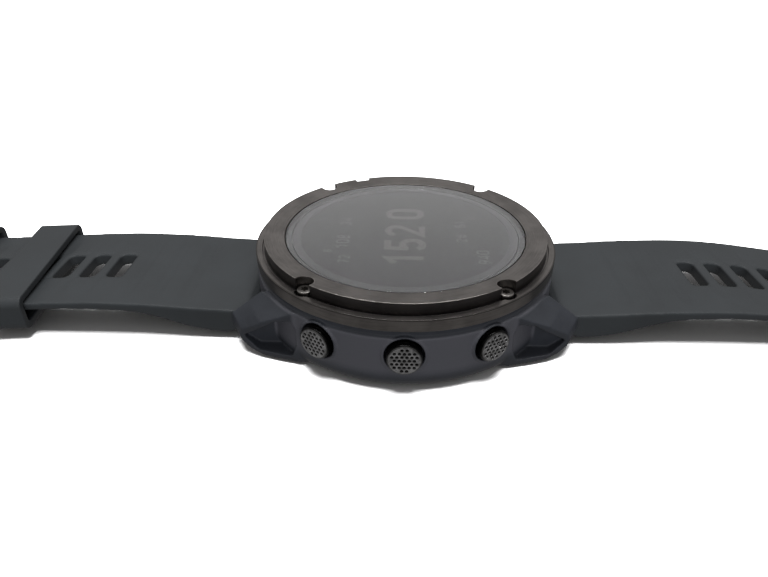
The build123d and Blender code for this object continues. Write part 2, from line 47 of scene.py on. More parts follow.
# ----------------------------------------------------------------- mesh kit
def to_object(name, bm=None, mesh=None, scale=True):
    """Makes an object from a bmesh (or mesh) built in millimetres."""
    if mesh is None:
        mesh = bpy.data.meshes.new(name)
        bm.to_mesh(mesh)
        bm.free()
    if scale:
        mesh.transform(Matrix.Scale(MM, 4))
    ob = bpy.data.objects.new(name, mesh)
    bpy.context.scene.collection.objects.link(ob)
    return ob


def smooth_by_angle(ob, degrees=32):
    bm = bmesh.new(); bm.from_mesh(ob.data)
    lim = D(degrees)
    for f in bm.faces:
        f.smooth = True
    for e in bm.edges:
        e.smooth = (len(e.link_faces) == 2 and e.calc_face_angle(9) < lim)
    bm.to_mesh(ob.data); bm.free()
    # broad flat faces keep their own normals beside a small rounding
    m = ob.modifiers.new("w", "WEIGHTED_NORMAL")
    m.mode = "FACE_AREA"; m.weight = 50; m.keep_sharp = True
    return evaluated(ob)


def rounded(pts, r=0.1, n=4):
    """A closed polygon with each corner turned into an arc. r is one radius or one for each corner."""
    out = []
    m = len(pts)
    rs = r if isinstance(r, (list, tuple)) else [r] * m
    for i in range(m):
        p0, p1, p2 = (np.array(pts[j % m], float) for j in (i - 1, i, i + 1))
        a, b = p0 - p1, p2 - p1
        la, lb = np.linalg.norm(a), np.linalg.norm(b)
        rr = rs[i]
        if rr <= 0 or la < 1e-9 or lb < 1e-9:
            out.append(tuple(p1)); continue
        a, b = a / la, b / lb
        ang = math.acos(max(-1, min(1, float(a @ b))))
        if ang > math.pi - 0.02:
            out.append(tuple(p1)); continue
        t = min(rr / math.tan(ang / 2), la * 0.45, lb * 0.45)
        rr = t * math.tan(ang / 2)
        bis = (a + b) / np.linalg.norm(a + b)
        c = p1 + bis * (rr / math.sin(ang / 2))
        s, e = p1 + a * t - c, p1 + b * t - c
        t0, t1 = math.atan2(s[1], s[0]), math.atan2(e[1], e[0])
        d = (t1 - t0 + math.pi) % (2 * math.pi) - math.pi
        for k in range(n + 1):
            q = t0 + d * k / n
            out.append((c[0] + rr * math.cos(q), c[1] + rr * math.sin(q)))
    return out


def lathe(name, profile, segs=256, closed=True, frame_m=None):
    """Turns a closed (radius, height) outline about Z. Points on the axis become one vertex."""
    bm = bmesh.new()
    rings = []
    for r, z in profile:
        if r < 1e-6:
            rings.append([bm.verts.new((0, 0, z))])
        else:
            rings.append([bm.verts.new((r * math.cos(2 * math.pi * k / segs), r * math.sin(2 * math.pi * k / segs), z)) for k in range(segs)])
    m = len(rings)
    for i in range(m if closed else m - 1):
        a, b = rings[i], rings[(i + 1) % m]
        if len(a) == 1 and len(b) == 1:
            continue
        for k in range(segs):
            k2 = (k + 1) % segs
            if len(a) == 1:
                bm.faces.new((a[0], b[k2], b[k]))
            elif len(b) == 1:
                bm.faces.new((a[k], a[k2], b[0]))
            else:
                bm.faces.new((a[k], a[k2], b[k2], b[k]))
    bmesh.ops.recalc_face_normals(bm, faces=bm.faces)
    if frame_m is not None:
        bm.transform(frame_m)
    return to_object(name, bm)


def prism(name, outline, z0, z1, m=None):
    """A closed prism on an outline of (x, y) points, in millimetres."""
    bm = bmesh.new()
    lo = [bm.verts.new((x, y, z0)) for x, y in outline]
    hi = [bm.verts.new((x, y, z1)) for x, y in outline]
    n = len(lo)
    bm.faces.new(lo[::-1]); bm.faces.new(hi)
    for k in range(n):
        bm.faces.new((lo[k], lo[(k + 1) % n], hi[(k + 1) % n], hi[k]))
    bmesh.ops.recalc_face_normals(bm, faces=bm.faces)
    if m is not None:
        bm.transform(m)
    return to_object(name, bm)


def evaluated(ob, name=None):
    bpy.context.view_layer.update()
    dg = bpy.context.evaluated_depsgraph_get()
    me = bpy.data.meshes.new_from_object(ob.evaluated_get(dg))
    old = ob.data
    ob.modifiers.clear()
    ob.data = me
    bpy.data.meshes.remove(old)
    return ob


def cut(ob, tools, operation="DIFFERENCE"):
    """Boolean with one tool after another; the tools are removed."""
    for t in tools:
        m = ob.modifiers.new("b", "BOOLEAN")
        m.operation = operation; m.object = t; m.solver = "EXACT"
        evaluated(ob)
        bpy.data.objects.remove(t)
    return ob


def join(name, obs):
    bm = bmesh.new()
    for o in obs:
        bm.from_mesh(o.data)
        bpy.data.objects.remove(o)
    mesh = bpy.data.meshes.new(name)
    bm.to_mesh(mesh); bm.free()
    return to_object(name, mesh=mesh, scale=False)


def radial_matrix(angle, s, z):
    """From a local frame with Z outward, to the case, at an angle about its axis. Millimetres."""
    a = D(angle)
    zx = Vector((math.cos(a), math.sin(a), 0)); xx = Vector((-math.sin(a), math.cos(a), 0)); yy = zx.cross(xx)
    m = Matrix((xx, yy, zx)).transposed().to_4x4()
    m.translation = zx * s + Vector((0, 0, z))
    return m


def coords(me):
    co = np.empty(len(me.vertices) * 3); me.vertices.foreach_get("co", co)
    return co.reshape(-1, 3)


def set_coords(me, co):
    me.vertices.foreach_set("co", np.ascontiguousarray(co, dtype=np.float64).ravel()); me.update()


def soften(name, node, voxel, smooth=4, factor=0.5, before=None, after=None, ratio=None, first=None):
    """A copy of a CAD node remeshed finely and smoothed, so that its moulded edges are rounded. before and after move points, in millimetres."""
    src = nodes[node].data.copy()
    src.transform(Matrix.Scale(1000.0, 4))
    ob = bpy.data.objects.new(name, src)
    bpy.context.scene.collection.objects.link(ob)
    bm = bmesh.new(); bm.from_mesh(src)
    bmesh.ops.remove_doubles(bm, verts=bm.verts, dist=0.0005)
    bm.to_mesh(src); bm.free()
    if before is not None:
        m = ob.modifiers.new("r", "REMESH"); m.mode = "VOXEL"; m.voxel_size = first or voxel * 1.2; m.adaptivity = 0
        evaluated(ob)
        co = coords(ob.data); set_coords(ob.data, before(co))
    m = ob.modifiers.new("r", "REMESH"); m.mode = "VOXEL"; m.voxel_size = voxel; m.adaptivity = 0
    evaluated(ob)
    if smooth:
        m = ob.modifiers.new("s", "SMOOTH"); m.factor = factor; m.iterations = smooth
        evaluated(ob)
    if after is not None:
        co = coords(ob.data); set_coords(ob.data, after(co))
    if ratio:
        m = ob.modifiers.new("d", "DECIMATE"); m.ratio = ratio
        evaluated(ob)
    ob.data.transform(Matrix.Scale(MM, 4))
    for p in ob.data.polygons:
        p.use_smooth = True
    ob.name = name
    return ob


# ------------------------------------------------------------- material kit
class Mat:
    def __init__(self, name):
        self.m = bpy.data.materials.new(name)
        self.m.use_nodes = True
        self.t = self.m.node_tree
        self.t.nodes.clear()
        self.out = self.t.nodes.new("ShaderNodeOutputMaterial")
        self.p = self.t.nodes.new("ShaderNodeBsdfPrincipled")
        self.t.links.new(self.p.outputs[0], self.out.inputs[0])
        tc = self.t.nodes.new("ShaderNodeTexCoord")
        v = self.t.nodes.new("ShaderNodeVectorMath"); v.operation = "SCALE"
        self.t.links.new(tc.outputs["Object"], v.inputs[0]); v.inputs["Scale"].default_value = 1000.0
        self.pos = v.outputs[0]          # millimetres
        s = self.t.nodes.new("ShaderNodeSeparateXYZ"); self.t.links.new(self.pos, s.inputs[0])
        self.x, self.y, self.z = s.outputs

    def link(self, a, b):
        if isinstance(a, (int, float)):
            b.default_value = a
        elif isinstance(a, (tuple, list)):
            b.default_value = tuple(a) + ((1.0,) if len(a) == 3 and len(b.default_value) == 4 else ())
        else:
            self.t.links.new(a, b)

    def math(self, op, a, b=0.0, c=0.0, clamp=False):
        n = self.t.nodes.new("ShaderNodeMath"); n.operation = op; n.use_clamp = clamp
        self.link(a, n.inputs[0]); self.link(b, n.inputs[1]); self.link(c, n.inputs[2])
        return n.outputs[0]

    def vec(self, x, y, z):
        n = self.t.nodes.new("ShaderNodeCombineXYZ")
        for s, i in zip((x, y, z), n.inputs):
            self.link(s, i)
        return n.outputs[0]

    def scaled(self, sx, sy, sz):
        n = self.t.nodes.new("ShaderNodeVectorMath"); n.operation = "MULTIPLY"
        self.t.links.new(self.pos, n.inputs[0]); n.inputs[1].default_value = (sx, sy, sz)
        return n.outputs[0]

    def noise(self, vector=None, scale=1.0, detail=3.0, rough=0.5, distortion=0.0):
        n = self.t.nodes.new("ShaderNodeTexNoise")
        self.link(vector if vector is not None else self.pos, n.inputs["Vector"])
        n.inputs["Scale"].default_value = scale; n.inputs["Detail"].default_value = detail
        n.inputs["Roughness"].default_value = rough; n.inputs["Distortion"].default_value = distortion
        return n.outputs[0]

    def voronoi(self, vector=None, scale=1.0, feature="F1"):
        n = self.t.nodes.new("ShaderNodeTexVoronoi"); n.feature = feature
        self.link(vector if vector is not None else self.pos, n.inputs["Vector"])
        n.inputs["Scale"].default_value = scale
        return n.outputs["Distance"]

    def ramp(self, v, a, b, lo=0.0, hi=1.0, smooth=True):
        n = self.t.nodes.new("ShaderNodeMapRange")
        n.interpolation_type = "SMOOTHSTEP" if smooth else "LINEAR"
        self.link(v, n.inputs["Value"])
        n.inputs["From Min"].default_value = a; n.inputs["From Max"].default_value = b
        n.inputs["To Min"].default_value = lo; n.inputs["To Max"].default_value = hi
        return n.outputs[0]

    def mix(self, f, a, b):
        n = self.t.nodes.new("ShaderNodeMix"); n.data_type = "RGBA"
        self.link(f, n.inputs[0]); self.link(a, n.inputs[6]); self.link(b, n.inputs[7])
        return n.outputs[2]

    def bump(self, height, strength=0.3, dist=0.0001, normal=None):
        n = self.t.nodes.new("ShaderNodeBump")
        n.inputs["Strength"].default_value = strength; n.inputs["Distance"].default_value = dist
        self.link(height, n.inputs["Height"])
        if normal is not None:
            self.link(normal, n.inputs["Normal"])
        return n.outputs[0]

    def set(self, **kw):
        for k, v in kw.items():
            self.link(v, self.p.inputs[k.replace("_", " ")])
        return self

    def radius(self):
        return self.math("SQRT", self.math("ADD", self.math("MULTIPLY", self.x, self.x), self.math("MULTIPLY", self.y, self.y)))


def coated_steel(name, base, worn, rough=0.36, edges=(), turned=True, notches=False, grain=0.05, dust=0.0):
    """Dark coated steel with turned or straight grain, fine scratches, and bright wear on the named (radius, height)
    edges. With notches, painted shade darkens the screw bores, the outer edge of the lower step and the wall under the
    upper tier.
    """
    m = Mat(name)
    r = m.radius()
    if turned:
        v = m.vec(m.math("MULTIPLY", m.math("DIVIDE", m.x, r), 7.0), m.math("MULTIPLY", m.math("DIVIDE", m.y, r), 7.0),
                  m.math("MULTIPLY", m.math("ADD", r, m.z), 9.0))
    else:
        v = m.scaled(0.8, 9.0, 9.0)
    streak = m.noise(v, 1.0, 4.0, 0.6)
    cloud = m.noise(None, 0.22, 3.0, 0.55)
    fine = m.noise(None, 5.0, 3.0, 0.6)
    wear = None
    for er, ez, w in edges:
        dr, dz = m.math("SUBTRACT", r, er), m.math("SUBTRACT", m.z, ez)
        d = m.math("SQRT", m.math("ADD", m.math("MULTIPLY", dr, dr), m.math("MULTIPLY", dz, dz)))
        k = m.ramp(d, w, w * 0.35)
        wear = k if wear is None else m.math("MAXIMUM", wear, k)
    if notches:
        ax, ay = m.math("ABSOLUTE", m.x), m.math("ABSOLUTE", m.y)
        dx, dy = m.math("SUBTRACT", ax, 14.98), m.math("SUBTRACT", ay, 18.24)
        d = m.math("SUBTRACT", m.math("SQRT", m.math("ADD", m.math("MULTIPLY", dx, dx), m.math("MULTIPLY", dy, dy))), 1.55)
        near = m.math("MULTIPLY", m.ramp(m.math("ABSOLUTE", d), 0.13, 0.03), m.ramp(m.z, 14.55, 14.7))
        wear = near if wear is None else m.math("MAXIMUM", wear, near)
    broken = m.ramp(m.noise(None, 0.9, 4.0, 0.65), 0.38, 0.62)
    if wear is not None:
        wear = m.math("MULTIPLY", wear, m.math("ADD", m.math("MULTIPLY", broken, 0.75), 0.25), clamp=True)
    # short bright scratches
    sv = m.scaled(1.6, 0.25, 1.2)
    sc = m.ramp(m.noise(sv, 2.2, 5.0, 0.75, 0.4), 0.70, 0.78)
    wear = m.math("MAXIMUM", wear, m.math("MULTIPLY", sc, 0.35)) if wear is not None else m.math("MULTIPLY", sc, 0.25)
    tone = m.math("ADD", m.math("MULTIPLY", streak, 0.5), m.math("MULTIPLY", cloud, 0.5))
    c = m.mix(m.ramp(tone, 0.34, 0.66), [b * 0.74 for b in base], [b * 1.28 for b in base])
    c = m.mix(wear, c, worn)
    if notches:
        # painted shade: the bores of the screws are darkened nearly to black, as if in shade
        c = m.mix(m.math("MULTIPLY", m.ramp(d, 0.01, -0.03), m.ramp(m.z, 14.75, 14.5)), c, (0.012, 0.012, 0.013))
        # painted shade: the outer edge of the lower step is darkened, dimming its reflection
        dr, dz = m.math("SUBTRACT", r, 25.45), m.math("SUBTRACT", m.z, 13.0)
        painted_edge_shade = m.ramp(m.math("SQRT", m.math("ADD", m.math("MULTIPLY", dr, dr), m.math("MULTIPLY", dz, dz))), 0.22, 0.12)
        c = m.mix(m.math("MULTIPLY", painted_edge_shade, 0.7), c, (0.030, 0.028, 0.027))
        # painted shade: the wall under the upper tier is darkened, as if in shade
        wall = m.math("MULTIPLY", m.ramp(m.math("ABSOLUTE", m.math("SUBTRACT", r, 24.05)), 0.14, 0.07), m.ramp(m.z, 14.86, 14.74))
        c = m.mix(m.math("MULTIPLY", wall, 0.72), c, (0.016, 0.015, 0.017))
    ro = m.math("ADD", m.math("MULTIPLY", streak, 0.16), m.math("ADD", m.math("MULTIPLY", cloud, 0.12), rough - 0.14))
    h = m.math("ADD", m.math("MULTIPLY", streak, 1.0), m.math("MULTIPLY", fine, 0.25))
    m.set(Base_Color=c, Metallic=1.0, Roughness=ro, Normal=m.bump(h, grain, 0.00012))
    return m.m


def cap_steel(name, base, worn):
    """Button caps: dark coated steel, rubbed bright on the ridges between the dimples and on the rim. Painted shade
    makes the dimples and the rim below the face black, and the side of the cap a darker copy of the steel.
    """
    m = Mat(name)
    s = None
    for a in (-120.4, -90.0, -59.6, 120.4, 59.6):
        d = m.math("ADD", m.math("MULTIPLY", m.x, math.cos(D(a))), m.math("MULTIPLY", m.y, math.sin(D(a))))
        s = d if s is None else m.math("MAXIMUM", s, d)
    n = m.noise(None, 2.2, 4.0, 0.6)
    fine = m.noise(None, 9.0, 3.0, 0.6)
    c = m.mix(m.ramp(n, 0.3, 0.7), [b * 0.75 for b in base], [b * 1.3 for b in base])
    rub = m.math("MULTIPLY", m.ramp(s, 26.555, 26.6), m.ramp(m.noise(None, 1.1, 3.0, 0.6), 0.35, 0.65, 0.30, 0.85))
    c = m.mix(rub, c, worn)
    # painted shade: black in the dimples and down the rim below the face
    c = m.mix(m.ramp(s, 26.56, 26.44), c, (0.006, 0.006, 0.006))
    # painted shade: the side of the cap, down in its pocket, is a darker copy of the steel
    c = m.mix(m.ramp(s, 26.0, 25.6), c, [b * 0.5 for b in base])
    m.set(Base_Color=c, Metallic=1.0, Roughness=m.ramp(n, 0.3, 0.7, 0.20, 0.34), Normal=m.bump(fine, 0.06, 0.00006))
    return m.m


def case_painted_light_and_shade(m, c):
    """Painted light and shade: the side wall is painted paler than the lugs, as painted light from the front, and the
    lowest part, near the table, is painted darker as painted shade.
    """
    r = m.radius()
    # painted light: the side wall is a lighter copy of the polymer
    wall = m.math("MULTIPLY", m.ramp(m.math("ABSOLUTE", m.math("SUBTRACT", r, 25.45)), 0.55, 0.25), m.ramp(m.z, 2.2, 4.4))
    wall = m.math("MULTIPLY", wall, m.ramp(m.z, 10.0, 9.6))
    c = m.mix(wall, c, (0.0290, 0.0295, 0.0350))
    # painted shade: darker towards the bottom, near the table
    painted_low_shade = m.ramp(m.z, 3.2, 0.6)
    c = m.mix(m.math("MULTIPLY", painted_low_shade, 0.25), c, (0.008, 0.0078, 0.0075))
    return c


def moulded(name, base, rough=0.55, grain=14.0, strength=0.12, var=0.12, spec=0.5, blotch=0.25, sheen=0.0, zones=None):
    """Moulded polymer: very fine spark-eroded grain, slight colour and gloss variation."""
    m = Mat(name)
    big = m.noise(None, blotch, 4.0, 0.55)
    g = m.noise(None, grain, 2.0, 0.5)
    g2 = m.voronoi(None, grain * 0.6)
    dust = m.ramp(m.noise(None, 2.6, 6.0, 0.8), 0.72, 0.80)
    c = m.mix(m.ramp(big, 0.3, 0.7), [b * (1 - var) for b in base], [b * (1 + var) for b in base])
    c = m.mix(m.math("MULTIPLY", dust, 0.10), c, (0.35, 0.35, 0.34))
    # zones, when given, paints light and shade into the colour
    if zones is not None:
        c = zones(m, c)
    ro = m.math("ADD", m.math("MULTIPLY", big, 0.14), m.math("ADD", m.math("MULTIPLY", g, 0.10), rough - 0.12))
    h = m.math("ADD", g, m.math("MULTIPLY", g2, 0.5))
    m.set(Base_Color=c, Roughness=ro, Specular_IOR_Level=spec, Normal=m.bump(h, strength, 0.00006))
    if sheen:
        m.set(Sheen_Weight=sheen, Sheen_Roughness=0.5)
    return m.m


def plain_metal(name, base, rough=0.3, scale=(6, 6, 1), var=0.12):
    m = Mat(name)
    n = m.noise(m.scaled(*scale), 1.2, 4.0, 0.6)
    b = m.noise(None, 0.5, 3.0, 0.5)
    c = m.mix(n, [x * (1 - var) for x in base], [min(1, x * (1 + var)) for x in base])
    m.set(Base_Color=c, Metallic=1.0, Roughness=m.math("ADD", m.math("MULTIPLY", b, 0.15), rough - 0.05), Normal=m.bump(n, 0.08, 0.00005))
    return m.m


def simple(name, base, rough=0.5, grain=8.0, var=0.15, metallic=0.0, strength=0.1):
    m = Mat(name)
    n = m.noise(None, grain, 3.0, 0.6)
    b = m.noise(None, 0.6, 3.0, 0.5)
    c = m.mix(b, [x * (1 - var) for x in base], [min(1, x * (1 + var)) for x in base])
    m.set(Base_Color=c, Metallic=metallic, Roughness=m.math("ADD", m.math("MULTIPLY", n, 0.2), rough - 0.1), Normal=m.bump(n, strength, 0.00005))
    return m.m


def board_mat(name):
    m = Mat(name)
    tr = m.voronoi(m.scaled(1.0, 1.0, 0.2), 1.3)
    lines = m.ramp(m.math("ABSOLUTE", m.math("SUBTRACT", m.math("FRACT", m.math("MULTIPLY", tr, 3.0)), 0.5)), 0.30, 0.42)
    c = m.mix(lines, (0.012, 0.07, 0.04), (0.03, 0.13, 0.07))
    m.set(Base_Color=c, Roughness=m.math("ADD", m.math("MULTIPLY", lines, 0.1), 0.3), Normal=m.bump(lines, 0.3, 0.00004))
    return m.m


def clear_glass(name, tint=(0.96, 0.97, 0.98), rough=0.01):
    m = Mat(name)
    smear = m.noise(None, 0.12, 5.0, 0.65, 0.8)
    m.set(Base_Color=tint, Transmission_Weight=1.0, IOR=1.52, Roughness=m.ramp(smear, 0.35, 0.8, rough, rough + 0.05))
    return m.m


bezel_mat = coated_steel("bezel_steel", (0.165, 0.153, 0.146), (0.36, 0.34, 0.32), 0.38,
                         edges=((23.97, 14.87, 0.06), (24.43, 13.02, 0.04), (20.6, 14.5, 0.05), (25.47, 11.1, 0.05)), notches=True)
button_mat = cap_steel("button_steel", (0.120, 0.119, 0.119), (0.50, 0.50, 0.51))
buckle_mat = coated_steel("buckle_steel", (0.140, 0.132, 0.125), (0.42, 0.42, 0.42), 0.36, turned=False)
case_mat = moulded("case_polymer", (0.0108, 0.0121, 0.0153), 0.52, 9.0, 0.16, 0.12, 0.4, zones=case_painted_light_and_shade)
silicone_mat = moulded("silicone", (0.0132, 0.0150, 0.0166), 0.62, 11.0, 0.12, 0.10, 0.4, 0.09)
screw_mat = plain_metal("screw_steel", (0.20, 0.19, 0.18), 0.30)
back_screw_mat = plain_metal("back_screw_steel", (0.40, 0.39, 0.38), 0.28)
pin_mat = plain_metal("pin_steel", (0.55, 0.55, 0.56), 0.25)
latch_mat = plain_metal("latch_steel", (0.56, 0.56, 0.57), 0.33)
spring_mat = plain_metal("spring_steel", (0.62, 0.62, 0.63), 0.22)
back_mat = coated_steel("back_steel", (0.22, 0.22, 0.225), (0.5, 0.5, 0.5), 0.34, edges=((14.6, 0.3, 0.15), (8.2, 0.3, 0.12)))
gasket_mat = simple("gasket_rubber", (0.015, 0.015, 0.016), 0.7)
inner_mat = simple("inner_plastic", (0.02, 0.02, 0.021), 0.5)
gold_mat = plain_metal("gold", (0.83, 0.62, 0.28), 0.22)
bush_mat = plain_metal("bush_brass", (0.70, 0.55, 0.27), 0.3)
cell_mat = simple("cell_foil", (0.50, 0.50, 0.52), 0.35, 1.5, 0.06, 1.0, 0.25)
guide_mat = simple("light_guide", (0.75, 0.78, 0.80), 0.3)
pv_mat = simple("photovoltaic", (0.030, 0.028, 0.031), 0.45, 3.0)
emit_mat = simple("emitter", (0.18, 0.38, 0.20), 0.25)
pcb_mat = board_mat("board")
lens_mat = clear_glass("lens_glass")
window_mat = simple("window_glass", (0.012, 0.012, 0.014), 0.12, 3.0)

cad_mats = {
    "bezel_gasket": gasket_mat, "lens_gasket": gasket_mat, "back_gasket": gasket_mat, "button_seals": gasket_mat,
    "solar_ring": pv_mat, "light_guide": guide_mat, "display_frame": inner_mat, "main_board": pcb_mat,
    "board_shield": latch_mat, "gps_antenna": bush_mat, "battery": cell_mat, "vibration_motor": pin_mat, "buzzer": bush_mat,
    "side_switches": inner_mat, "back_cover": back_mat, "back_cover_screws": back_screw_mat, "sensor_window": window_mat,
    "sensor_board": pcb_mat, "sensor_emitters": emit_mat, "contact_insulator": inner_mat, "charging_contacts": gold_mat,
    "button_bushes": bush_mat, "lug_pins": pin_mat, "buckle_pin": pin_mat,
    "latch_insert_long": latch_mat, "latch_insert_buckle": latch_mat, "latch_slider_long": latch_mat, "latch_slider_buckle": latch_mat,
    "latch_springs_long": spring_mat, "latch_springs_buckle": spring_mat,
}
for n in ("light", "up", "down", "start", "back"):
    cad_mats["clip_" + n] = spring_mat
    cad_mats["spring_" + n] = spring_mat


def paint(ob, mat):
    ob.data.materials.clear()
    ob.data.materials.append(mat)
    return ob


for n, mt in cad_mats.items():
    me = nodes[n].data
    if len(me.materials):
        for i in range(len(me.materials)):
            me.materials[i] = mt
    else:
        me.materials.append(mt)

# -------------------------------------------------------------------- bezel
def ring_cutter(name, x, y, r, z0, z1, n=64):
    return prism(name, [(x + r * math.cos(2 * math.pi * k / n), y + r * math.sin(2 * math.pi * k / n)) for k in range(n)], z0, z1)


prof = rounded([(19.4, 11.05), (25.5, 11.05), (25.5, 13.05), (24.4, 13.05), (24.4, 12.75), (24.0, 12.75), (24.0, 14.9), (20.6, 14.5), (20.6, 12.9), (19.4, 12.9)],
               [0.05, 0.10, 0.10, 0.06, 0.03, 0.06, 0.10, 0.07, 0.03, 0.05], 5)
bezel = lathe("bezel_turned", prof, 384)
tools = []
for i, a in enumerate((50.6, 129.4, 230.6, -50.6)):
    cx, cy = 23.6 * math.cos(D(a)), 23.6 * math.sin(D(a))
    tools.append(ring_cutter("t", cx, cy, 1.55, 12.25, 16))
    u, v = Vector((math.cos(D(a)), math.sin(D(a)))), Vector((-math.sin(D(a)), math.cos(D(a))))
    pts = [u * r + v * w for r, w in ((23.6, -1.52), (25.2, -1.62), (25.2, 1.62), (23.6, 1.52))]
    tools.append(prism("t", [tuple(p) for p in pts], 13.07, 16))
    tools.append(prism("t", [tuple(u * r + v * w) for r, w in ((23.6, -1.5), (24.44, -1.5), (24.44, 1.5), (23.6, 1.5))], 12.25, 16))
    tools.append(ring_cutter("t", 23.5 * math.cos(D(a)), 23.5 * math.sin(D(a)), 0.65, 10, 13, 32))
a = 111.2
u, v = Vector((math.cos(D(a)), math.sin(D(a)))), Vector((-math.sin(D(a)), math.cos(D(a))))
tools.append(prism("t", [tuple(u * r + v * w) for r, w in ((23.12, -1.35), (25, -1.5), (25, 1.5), (23.12, 1.35))], 14.1, 16))
cut(bezel, tools)
smooth_by_angle(bezel, 30)
paint(bezel, bezel_mat)
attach(bezel, "case"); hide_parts("bezel")

# screws: turned heads with six-lobed sockets
screws = []
for a in (50.6, 129.4, 230.6, -50.6):
    cx, cy = 23.5 * math.cos(D(a)), 23.5 * math.sin(D(a))
    s = lathe("s", rounded([(0, 7.6), (0.55, 7.6), (0.55, 12.25), (1.2, 12.25), (1.2, 13.45), (0, 13.45)], [0, 0.1, 0, 0.05, 0.2, 0], 5), 64,
              frame_m=Matrix.Translation((cx, cy, 0)))
    star = []
    for k in range(72):
        q = 2 * math.pi * k / 72
        rr = 0.56 + 0.10 * math.cos(6 * q)
        star.append((cx + rr * math.cos(q + D(a * 3)), cy + rr * math.sin(q + D(a * 3))))
    cut(s, [prism("t", star, 12.8, 14)])
    screws.append(s)
screws = join("bezel_screws_detail", screws)
smooth_by_angle(screws, 35)
paint(screws, screw_mat)
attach(screws, "case"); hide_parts("bezel_screws")

# --------------------------------------------------------- lens and display
lens = lathe("lens_crystal", rounded([(0, 13.1), (20.46, 13.1), (20.46, 14.4), (0, 14.4)], [0, 0.08, 0.12, 0], 5), 256)
smooth_by_angle(lens, 20)
paint(lens, lens_mat)
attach(lens, "case"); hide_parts("lens")


def display_mat():
    m = Mat("display_film")
    r = m.radius()
    edge = m.ramp(r, 16.6, 17.7)
    cloud = m.noise(None, 0.06, 3.0, 0.5)
    grain = m.noise(None, 14.0, 2.0, 0.5)
    c = m.mix(cloud, (0.0255, 0.0255, 0.0263), (0.0285, 0.0285, 0.0293))
    c = m.mix(m.math("MULTIPLY", edge, 0.4), c, (0.026, 0.026, 0.027))
    m.set(Base_Color=c, Roughness=m.ramp(cloud, 0.3, 0.7, 0.42, 0.5), Specular_IOR_Level=0.2, Normal=m.bump(grain, 0.02, 0.00001))
    return m.m


def mark_mat(name, base):
    m = Mat(name)
    n = m.noise(None, 6.0, 2.0, 0.5)
    m.set(Base_Color=m.mix(n, [b * 0.9 for b in base], [b * 1.1 for b in base]), Roughness=m.ramp(n, 0.3, 0.7, 0.4, 0.5))
    return m.m


disp = lathe("display_film", rounded([(0, 12.0), (17.8, 12.0), (17.93, 12.9), (17.93, 13.05), (0, 13.05)], [0, 0.05, 0.0, 0.02, 0], 2), 192)
smooth_by_angle(disp, 20)
paint(disp, display_mat())
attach(disp, "case"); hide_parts("display_panel")

# strokes of the digits, on a 1 wide, 1.6 high box, as centre lines
def arc(cx, cy, rx, ry, a0, a1, n=10):
    return [(cx + rx * math.cos(D(a0 + (a1 - a0) * k / n)), cy + ry * math.sin(D(a0 + (a1 - a0) * k / n))) for k in range(n + 1)]


GLYPH = {
    "0": [arc(0.5, 1.15, 0.36, 0.31, 180, 0) + arc(0.5, 0.45, 0.36, 0.31, 0, -180) + [(0.14, 1.15)]],
    "1": [[(0.18, 1.18), (0.56, 1.46), (0.56, 0.14)]],
    "2": [arc(0.5, 1.12, 0.36, 0.34, 165, -25) + [(0.14, 0.14), (0.88, 0.14)]],
    "3": [arc(0.48, 1.12, 0.34, 0.34, 160, -80) + arc(0.48, 0.47, 0.38, 0.33, 80, -160)],
    "4": [[(0.66, 0.14), (0.66, 1.46), (0.12, 0.5), (0.92, 0.5)]],
    "5": [[(0.84, 1.46), (0.22, 1.46), (0.17, 0.82)] + arc(0.48, 0.52, 0.38, 0.38, 130, -155)],
    "6": [arc(0.5, 0.5, 0.36, 0.36, 0, 360) + [], [(0.14, 0.5), (0.2, 0.95), (0.62, 1.46)]],
    "7": [[(0.12, 1.46), (0.88, 1.46), (0.4, 0.14)]],
    "8": [arc(0.5, 1.12, 0.30, 0.34, 0, 360), arc(0.5, 0.47, 0.36, 0.33, 0, 360)],
    "9": [arc(0.5, 1.1, 0.36, 0.36, 0, 360), [(0.86, 1.1), (0.8, 0.65), (0.38, 0.14)]],
    "-": [[(0.1, 0.8), (0.9, 0.8)]],
}


def ribbon(bm, pts, w, to3, thick):
    """A flat stroke of width w along pts, as a thin closed solid."""
    P = [np.array(p, float) for p in pts]
    P = [p for i, p in enumerate(P) if i == 0 or np.linalg.norm(p - P[i - 1]) > 1e-6]
    L, R = [], []
    for i in range(len(P)):
        d0 = P[i] - P[i - 1] if i > 0 else P[1] - P[0]
        d1 = P[i + 1] - P[i] if i < len(P) - 1 else P[i] - P[i - 1]
        d0, d1 = d0 / np.linalg.norm(d0), d1 / np.linalg.norm(d1)
        t = d0 + d1
        t = t / np.linalg.norm(t) if np.linalg.norm(t) > 0.3 else d0
        n = np.array((-t[1], t[0]))
        k = min(1.8, 1 / max(0.35, float(n @ np.array((-d0[1], d0[0])))))
        L.append(P[i] + n * w / 2 * k); R.append(P[i] - n * w / 2 * k)
    for i in range(len(P) - 1):
        quad = [L[i], L[i + 1], R[i + 1], R[i]]
        lo = [bm.verts.new(to3(q, 0.0)) for q in quad]
        hi = [bm.verts.new(to3(q, thick)) for q in quad]
        bm.faces.new(lo[::-1]); bm.faces.new(hi)
        for k in range(4):
            bm.faces.new((lo[k], lo[(k + 1) % 4], hi[(k + 1) % 4], hi[k]))


def writing(name, items, z, mat):
    """Numbers on the display: they read along +Y with their tops towards -X. items: (text, x of the foot, y of the start, height, stroke)."""
    bm = bmesh.new()
    for text, x0, y0, height, stroke, adv in items:
        y = y0
        k = height / 1.6
        for ch in text:
            if ch != " ":
                for line in GLYPH[ch]:
                    ribbon(bm, [(p[0] * k, p[1] * k) for p in line], stroke,
                           lambda q, t, y=y, x0=x0: (x0 - q[1], y + q[0], z + t), 0.012)
            y += adv
    bmesh.ops.recalc_face_normals(bm, faces=bm.faces)
    return paint(to_object(name, bm), mat)


